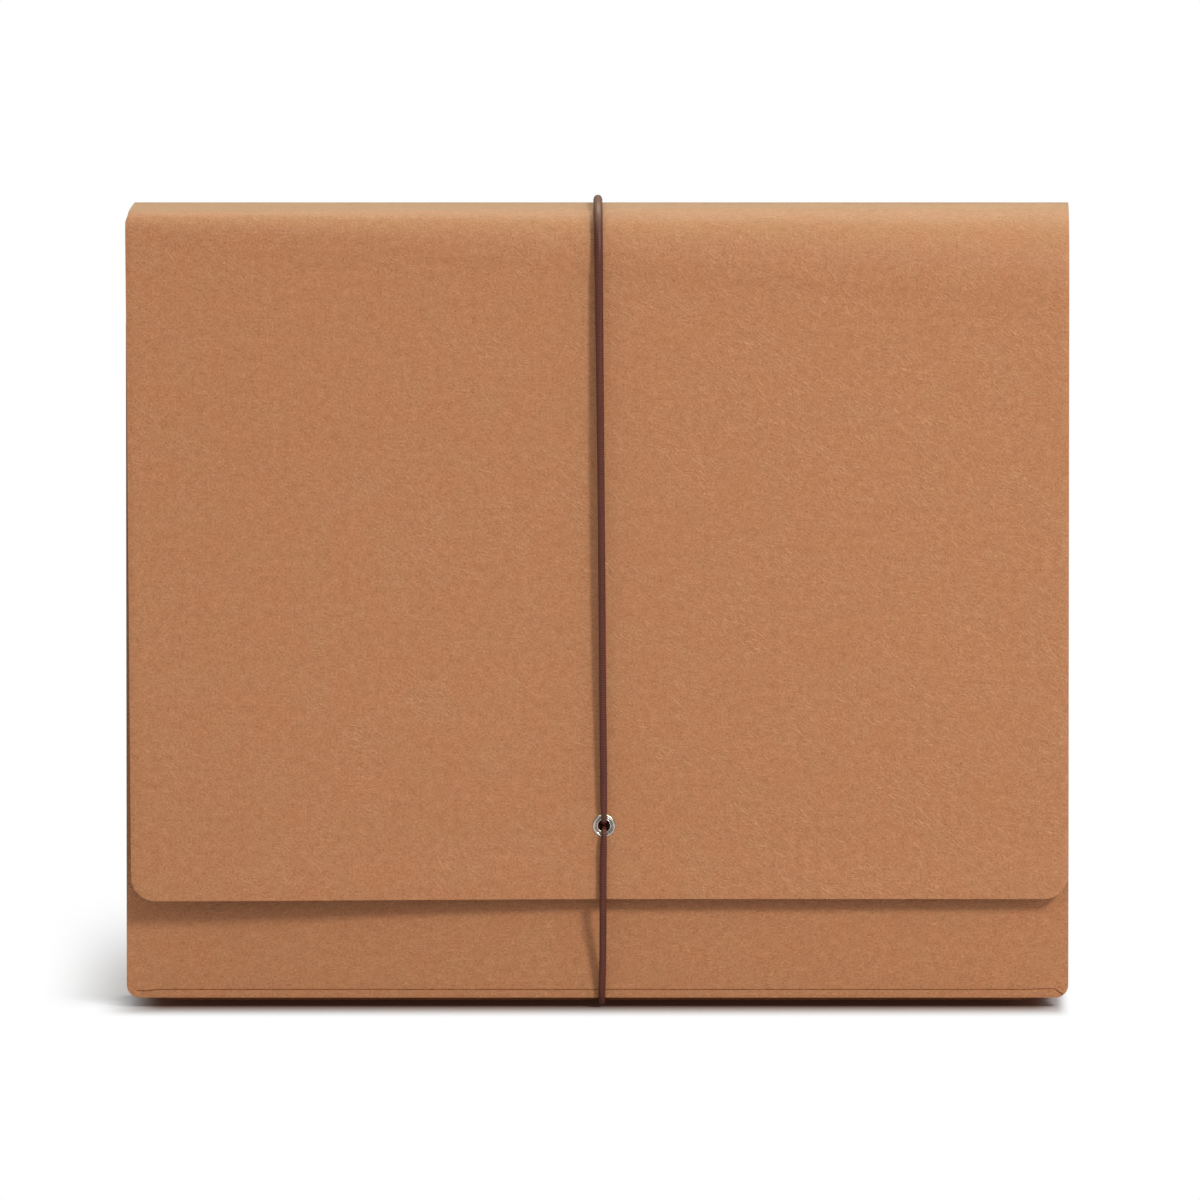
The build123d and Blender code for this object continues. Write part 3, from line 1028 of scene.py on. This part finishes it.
def lathe(bm, profile, centre, segments):
    """Turns a closed profile of radius and standing-out round the depth direction."""
    rings = []
    for step in range(segments):
        angle = 2 * pi * step / segments
        rings.append([
            bm.verts.new(centre + Vector((radius * cos(angle), -out, radius * sin(angle))))
            for radius, out in profile
        ])
    for ring, following in zip(rings, rings[1:] + rings[:1]):
        for j in range(len(profile)):
            k = (j + 1) % len(profile)
            bm.faces.new((ring[j], ring[k], following[k], following[j]))
    bmesh.ops.recalc_face_normals(bm, faces=bm.faces)


# Radius and standing-out of the eyelet's rolled rings, in millimetres
EYELET_PROFILE = [
    (1.9, -1.3), (1.9, 0.2), (1.93, 0.38), (2.0, 0.53), (2.12, 0.6), (2.25, 0.56), (2.36, 0.42),
    (2.45, 0.2), (2.56, 0.08), (2.68, 0.12), (2.8, 0.3), (2.95, 0.5), (3.14, 0.6), (3.36, 0.6),
    (3.54, 0.52), (3.68, 0.38), (3.77, 0.22), (3.79, 0.08), (3.76, 0.0), (3.6, -0.02), (2.3, -0.02),
    (2.3, -0.78), (2.9, -0.8),
    (3.06, -0.9), (3.08, -1.04), (2.98, -1.2), (2.76, -1.33), (2.5, -1.4), (2.2, -1.42), (2.0, -1.38),
]


class FILE_OT_eyelet(bpy.types.Operator):
    """Turns the metal eyelet with its rolled rings"""

    bl_idname = "accordion_file.eyelet"
    bl_label = "Eyelet"

    def execute(self, context):
        settings = context.scene.file_eyelet
        metal = finish_for("eyelet_metal", metal_finish, tuple(settings.metal))
        bm = bmesh.new()
        profile = [(radius * MM, out * MM) for radius, out in EYELET_PROFILE]
        lathe(bm, profile, Vector((EYELET_CENTRE.x, LEAF_LOW.y, EYELET_CENTRE.z)), settings.segments)
        eyelet = smooth(add_piece("eyelet_rings", bm, [metal]), 60)
        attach(eyelet, "flap_leaf")
        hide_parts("eyelet")
        return {"FINISHED"}


def route(points):
    """Points along the smooth line of a route given across, in depth and in height, in millimetres."""
    line = bpy.data.curves.new("route", "CURVE")
    line.dimensions = "3D"
    spline = line.splines.new("NURBS")
    spline.points.add(len(points) - 1)
    for point, (x, depth, height) in zip(spline.points, points):
        point.co = (*place(x * MM, depth * MM, height * MM), 1)
    spline.order_u = 3
    spline.use_endpoint_u = True
    spline.resolution_u = 10
    guide = bpy.data.objects.new("route", line)
    bpy.context.scene.collection.objects.link(guide)
    mesh = bpy.data.meshes.new_from_object(guide)
    found = [vertex.co.copy() for vertex in mesh.vertices]
    bpy.data.objects.remove(guide)
    bpy.data.curves.remove(line)
    bpy.data.meshes.remove(mesh)
    return found


def tube(bm, points, radius, sides):
    """A round cord with closed ends along a line, with its braid's map. Its radius follows the height."""
    uv = bm.loops.layers.uv.get("braid") or bm.loops.layers.uv.new("braid")
    tangent = (points[1] - points[0]).normalized()
    side = tangent.orthogonal().normalized()
    rings, runs, run = [], [], 0
    for index, point in enumerate(points):
        before, after = points[max(index - 1, 0)], points[min(index + 1, len(points) - 1)]
        tangent = (after - before).normalized()
        side = (side - tangent * side.dot(tangent)).normalized()
        other = tangent.cross(side)
        run += (point - before).length
        wide = radius(point.z)
        ring = []
        for step in range(sides):
            angle = 2 * pi * step / sides
            ring.append(bm.verts.new(point + (side * cos(angle) + other * sin(angle)) * wide))
        rings.append(ring)
        runs.append(run)
    for i in range(len(rings) - 1):
        for j in range(sides):
            k = (j + 1) % sides
            face = bm.faces.new((rings[i][j], rings[i][k], rings[i + 1][k], rings[i + 1][j]))
            corners = ((j, i), (j + 1, i), (j + 1, i + 1), (j, i + 1))
            for loop, (turn, row) in zip(face.loops, corners):
                loop[uv].uv = (turn / sides, runs[row])
    for ring, row in ((rings[0], 0), (rings[-1], -1)):
        face = bm.faces.new(ring)
        for loop in face.loops:
            loop[uv].uv = (0, runs[row])
    bmesh.ops.recalc_face_normals(bm, faces=bm.faces)


# The elastic's levels and runs, as places across, in depth and in height, in millimetres
TOP = TOP_Z / MM
OVER = TOP + 1.2
UNDER = 2.2
FRONT = 42.25
REAR = -1.35
EYE = EYELET_CENTRE.z / MM

UPPER_STRAND = [
    (0.0, 11.2, OVER), (0.0, 15, OVER), (0.05, 33.6, OVER), (0.2, 42.0, TOP - 7.6), (0.42, FRONT, TOP - 29),
    (1.1, FRONT, 165), (1.55, FRONT, 105), (1.85, FRONT, EYE + 17), (1.9, 42.2, EYE + 6.4),
    (EYE_X, 41.8, EYE + 2.3), (EYE_X, 40.3, EYE + 1.0), (EYE_X, 38.2, EYE + 0.9),
]
LOWER_STRAND = [
    (EYE_X, 38.2, EYE - 0.9), (EYE_X, 40.3, EYE - 1.0), (EYE_X, 41.8, EYE - 2.2), (1.82, 42.2, EYE - 6.7),
    (1.68, 42.6, EYE - 15), (1.68, 43.3, 34), (1.68, 41.6, 27), (1.6, 38.9, 16), (FOOT_X + 0.15, 37.3, 8.6),
    (FOOT_X, 36.6, 5.4),
]
TOP_RUN = [(0.0, 6.5, OVER), (0.0, 8, OVER), (0.0, 10, OVER), (0.0, 12, OVER)]
BACK_RUN = [
    (0.0, 7.2, OVER), (0.0, 6.2, OVER), (0.0, 3.1, OVER), (0.0, -1.4, TOP - 3.1), (0.1, REAR, TOP - 15),
    (0.6, REAR, 170), (1.1, REAR, 60), (FOOT_X, REAR, 14), (FOOT_X, -1.3, 4.4), (FOOT_X, 0.6, UNDER),
    (FOOT_X, 5, UNDER), (FOOT_X, 20, UNDER), (FOOT_X, 34, UNDER), (FOOT_X, 34.6, UNDER),
]
FOOT_RUN = [
    (FOOT_X, 36.9, 6.6), (FOOT_X, 36.5, 4.6), (FOOT_X, 35.6, 2.5), (FOOT_X, 33.2, UNDER),
    (FOOT_X, 20, UNDER), (FOOT_X, 3, UNDER), (FOOT_X, 1.2, UNDER),
]
MIDDLE_RUN = [(FOOT_X, 32.4, UNDER), (FOOT_X, 20, UNDER), (FOOT_X, 1.2, UNDER)]


class FILE_OT_elastic(bpy.types.Operator):
    """Lays the elastic once round the file, through the eyelet to its knot"""

    bl_idname = "accordion_file.elastic"
    bl_label = "Elastic"

    PINCH_REACH = 9 * MM
    PINCHED = 0.72
    STRETCHED = (0.95, 0.99)
    RELAXED = 0.26
    OVER_TOP = 1.15
    BENEATH = 0.92

    def execute(self, context):
        elastic = context.scene.file_elastic
        full = elastic.radius

        def tapered(height):
            near = min(abs(height - EYELET_CENTRE.z) / self.PINCH_REACH, 1)
            rise = height / TOP_Z
            drawn = mix(*self.STRETCHED, rise) + self.RELAXED * rise ** 6
            return full * drawn * mix(self.PINCHED, 1, ease(near))

        front = self.cord("elastic_strands", [UPPER_STRAND, LOWER_STRAND], tapered)
        cover = context.scene.file_cover
        reach = (cover.left_shoulder + cover.right_shoulder) / 2
        place(0, FLAP_DEPTH - reach, TOP_Z)
        place(0, FLAP_DEPTH, TOP_Z - reach)
        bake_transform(front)
        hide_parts("elastic_front")
        top = self.cord("elastic_over", [TOP_RUN], lambda height: full * self.OVER_TOP)
        place(0, cover.top_start, TOP_Z)
        place(0, cover.top_end, TOP_Z)
        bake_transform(top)
        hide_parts("elastic_top")
        back = self.cord("elastic_behind", [BACK_RUN], lambda height: full - 2 * elastic.nest)
        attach(back, "back")
        place(0, cover.board / 2, TOP_Z / 2)
        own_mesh(back)
        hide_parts("elastic_back")
        foot = self.cord("elastic_foot", [FOOT_RUN], lambda height: full * self.BENEATH)
        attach(foot, "front")
        middle = self.cord("elastic_under", [MIDDLE_RUN], lambda height: full * self.BENEATH - elastic.nest)
        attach(middle, DIVIDERS[2])
        place(FOOT_X * MM, 33.5 * MM, 0)
        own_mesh(foot)
        place(FOOT_X * MM, 0, 0)
        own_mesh(middle)
        knot = self.cord("elastic_knot", [self.knot()], lambda height: full * self.PINCHED)
        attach(knot, "flap_leaf")
        return {"FINISHED"}

    def cord(self, name, routes, radius):
        bm = bmesh.new()
        for points in routes:
            tube(bm, route(points), radius, bpy.context.scene.file_elastic.sides)
        return smooth(add_piece(name, bm, [braid()]), 60)

    def knot(self):
        """An overhand knot, drawn small between the flap and the front panel."""
        wide, tall, deep, middle, last = 1.15, 1.05, 0.62, 37.1, 33
        points = []
        for step in range(last + 1):
            turn = mix(0.04, 0.96, step / last) * 2 * pi
            across = wide * (sin(turn) + 2 * sin(2 * turn))
            up = tall * (cos(turn) - 2 * cos(2 * turn))
            points.append((EYE_X + across, middle - deep * sin(3 * turn), EYE + up))
        return points


CLIP_END = 100
FLOOR_SIZE = 30
FLOOR_LIT = (0.75, 0.75, 0.75, 1)
# Painted shade: dark brown floor colour under the file, where the file's shade falls
FLOOR_PAINTED_SHADE = (0.26, 0.14, 0.1, 1)
# Painted light: warm brown glow of the floor under the file, standing in for light bounced off the board
PAINTED_BOUNCE_GLOW = (1, 0.42, 0.26, 1)
WHITE = (1, 1, 1, 1)


class FILE_OT_stage(bpy.types.Operator):
    """Sets the floor, the lamps, the world and the camera"""

    bl_idname = "accordion_file.stage"
    bl_label = "Stage"

    KEY_FROM = (0.67, -1, 0.67)
    TOP_FROM = (0.1, 0.55, 0.83)
    SHINE_FROM = (0.1, -0.05, 1)

    def execute(self, context):
        stage = context.scene.file_stage
        target = Vector((stage.centre_x, LEAF_LOW.y, stage.centre_z))
        far = stage.lamp_distance
        self.floor(stage)
        self.world(context, stage)
        self.lamp(context, "key", target, self.KEY_FROM, stage.key_distance, stage.key_power, stage.key_size)
        self.lamp(context, "top", target, self.TOP_FROM, far, stage.top_power, stage.top_size)
        shine = self.lamp(
            context, "shine", target, self.SHINE_FROM, far, stage.shine_power, stage.shine_size
        )
        shine.data.color = stage.shine_tint
        shine.visible_diffuse = False
        camera = bpy.data.cameras.new("camera")
        camera.lens = camera.sensor_width * stage.distance / stage.frame_width
        camera.clip_end = CLIP_END
        eye = bpy.data.objects.new("camera", camera)
        look = Vector((0, -cos(stage.elevation), sin(stage.elevation)))
        eye.location = target + look * stage.distance
        eye.rotation_euler = (-look).to_track_quat("-Z", "Y").to_euler()
        context.scene.collection.objects.link(eye)
        context.scene.camera = eye
        context.scene.view_settings.view_transform = "Standard"
        return {"FINISHED"}

    def lamp(self, context, name, target, direction, distance, power, size):
        data = bpy.data.lights.new(name, "AREA")
        data.shape = "DISK"
        data.size = size
        data.energy = power
        lamp = bpy.data.objects.new(name, data)
        direction = Vector(direction).normalized()
        lamp.location = target + direction * distance
        lamp.rotation_euler = (-direction).to_track_quat("-Z", "Y").to_euler()
        context.scene.collection.objects.link(lamp)
        return lamp

    def seen(self, finish):
        """One where the camera, a reflection or a clear piece looks, and nought for other light."""
        camera = finish.node("ShaderNodeLightPath", {}, {}, "Is Camera Ray")
        gloss = finish.node("ShaderNodeLightPath", {}, {}, "Is Glossy Ray")
        through = finish.node("ShaderNodeLightPath", {}, {}, "Is Transmission Ray")
        total = camera + gloss + through
        return finish.node("ShaderNodeClamp", {}, {0: total})

    def floor(self, stage):
        """White floor that keeps the file's shadow beside it, with painted brown shade and a faint painted
        warm glow under the file, and is bare elsewhere.
        """
        finish = Finish("floor_white")
        where = finish.node("ShaderNodeTexCoord", {}, {}, "Object")
        across = finish.node("ShaderNodeSeparateXYZ", {}, {0: where}, 0)
        back = finish.node("ShaderNodeSeparateXYZ", {}, {0: where}, 1)
        paper = finish.noise(where, scale=900, detail=2)
        shown = finish.tint((stage.floor * 0.995,) * 3 + (1,), (stage.floor,) * 3 + (1,), paper)
        bright = finish.tint(FLOOR_LIT, shown, self.seen(finish))
        side, front, rear = CAD_HIGH.x, FRONT_LOW.y, CAD_HIGH.y
        beside = finish.step(abs(across), side - 12 * MM, side)
        # Where the floor gets painted shade and a painted glow: behind the front edge, inside the sides,
        # before the back
        under = finish.step(back, front - 13 * MM, front + 9 * MM)
        under = under * (1 - beside) * finish.step(back, rear, rear - 8 * MM)
        # Painted shade under the file, in the floor's colour for the camera and for bounced light
        bright = finish.tint(bright, FLOOR_PAINTED_SHADE, under)
        surface = finish.node("ShaderNodeBsdfDiffuse", {}, {"Color": bright})
        left = finish.step(across, -side + 10 * MM, -side - stage.shadow_left)
        right = finish.step(across, side - 4 * MM, side + 1 * MM)
        near = finish.step(back, front - 4 * MM, front - 25 * MM)
        far = finish.step(back, rear, rear + 277 * MM)
        corner = finish.step(back, 22 * MM, -22 * MM) * finish.step(across, 3 * MM - side, -side - 12 * MM)
        open_ = 1 - (1 - left) * (1 - right) * (1 - near) * (1 - far) * (1 - corner)
        # Painted light: under the file the floor's emission turns warm brown; elsewhere it stays plain white
        warm = finish.tint(WHITE, PAINTED_BOUNCE_GLOW, under * finish.step(open_, 0.5, 0.0))
        white_and_painted_glow = finish.node("ShaderNodeEmission", {}, {"Color": warm, "Strength": 1.0})
        # A small share of painted glow under the file; elsewhere the floor shows bare white
        bare = (open_ + (1 - open_) * under * 0.02) * self.seen(finish)
        shader = finish.node("ShaderNodeMixShader", {}, {0: bare, 1: surface, 2: white_and_painted_glow})
        finish.node("ShaderNodeOutputMaterial", {}, {"Surface": shader})
        bm = bmesh.new()
        bmesh.ops.create_grid(bm, x_segments=1, y_segments=1, size=FLOOR_SIZE)
        floor = add_piece("floor", bm, [finish.material])

    def world(self, context, stage):
        """White room for the camera, soft light for the file, and a warm light behind it in reflections."""
        world = bpy.data.worlds.new("white room")
        world.use_nodes = True
        world.node_tree.nodes.clear()
        finish = Finish("world", world.node_tree)
        towards = finish.node("ShaderNodeTexCoord", {}, {}, "Generated")
        up = finish.node("ShaderNodeSeparateXYZ", {}, {0: towards}, 2)
        gloss = finish.node("ShaderNodeLightPath", {}, {}, "Is Glossy Ray")
        forward = finish.node("ShaderNodeSeparateXYZ", {}, {0: towards}, 1)
        above = finish.step(up, 0.15, 0.5) * finish.step(forward, -0.1, 0.3)
        reflected = gloss * (above * (stage.softbox - stage.room) + stage.room)
        seen = self.seen(finish)
        dome = (finish.step(up, 0.0, 0.3) * 0.88 + 0.12) * (1 - finish.step(up, 0.4, 0.85) * 0.65)
        overhead = dome * (finish.step(forward, 0.25, -0.25) * 0.4 + 0.6)
        level = reflected + (1 - gloss) * seen + (1 - seen) * overhead * stage.fill
        shade = finish.tint(WHITE, tuple(stage.tint) + (1,), gloss * above)
        light = finish.node("ShaderNodeBackground", {}, {"Color": shade, "Strength": level})
        finish.node("ShaderNodeOutputWorld", {}, {"Surface": light})
        context.scene.world = world


OPERATORS = (
    FILE_OT_cover_board,
    FILE_OT_front_panel,
    FILE_OT_dividers,
    FILE_OT_gusset,
    FILE_OT_eyelet,
    FILE_OT_elastic,
    FILE_OT_stage,
)


class FILE_PT_pieces(bpy.types.Panel):
    """Lists the pieces of the accordion file"""

    bl_idname = "FILE_PT_pieces"
    bl_label = "Accordion File"
    bl_space_type = "VIEW_3D"
    bl_region_type = "UI"
    bl_category = "Accordion File"

    def draw(self, context):
        for operator in OPERATORS:
            self.layout.operator(operator.bl_idname)


SETTINGS = {
    "file_cover": CoverSettings,
    "file_gusset": GussetSettings,
    "file_eyelet": EyeletSettings,
    "file_elastic": ElasticSettings,
    "file_stage": StageSettings,
}


def register():
    for name, group in SETTINGS.items():
        bpy.utils.register_class(group)
        setattr(bpy.types.Scene, name, PointerProperty(type=group))
    for kind in OPERATORS + (FILE_PT_pieces,):
        bpy.utils.register_class(kind)


def unregister():
    for kind in OPERATORS + (FILE_PT_pieces,):
        bpy.utils.unregister_class(kind)
    for name, group in SETTINGS.items():
        delattr(bpy.types.Scene, name)
        bpy.utils.unregister_class(group)


def main():
    register()
    bpy.ops.accordion_file.cover_board()
    bpy.ops.accordion_file.front_panel()
    bpy.ops.accordion_file.dividers()
    bpy.ops.accordion_file.gusset()
    bpy.ops.accordion_file.eyelet()
    bpy.ops.accordion_file.elastic()
    bpy.ops.accordion_file.stage()


if __name__ == "__main__":
    main()
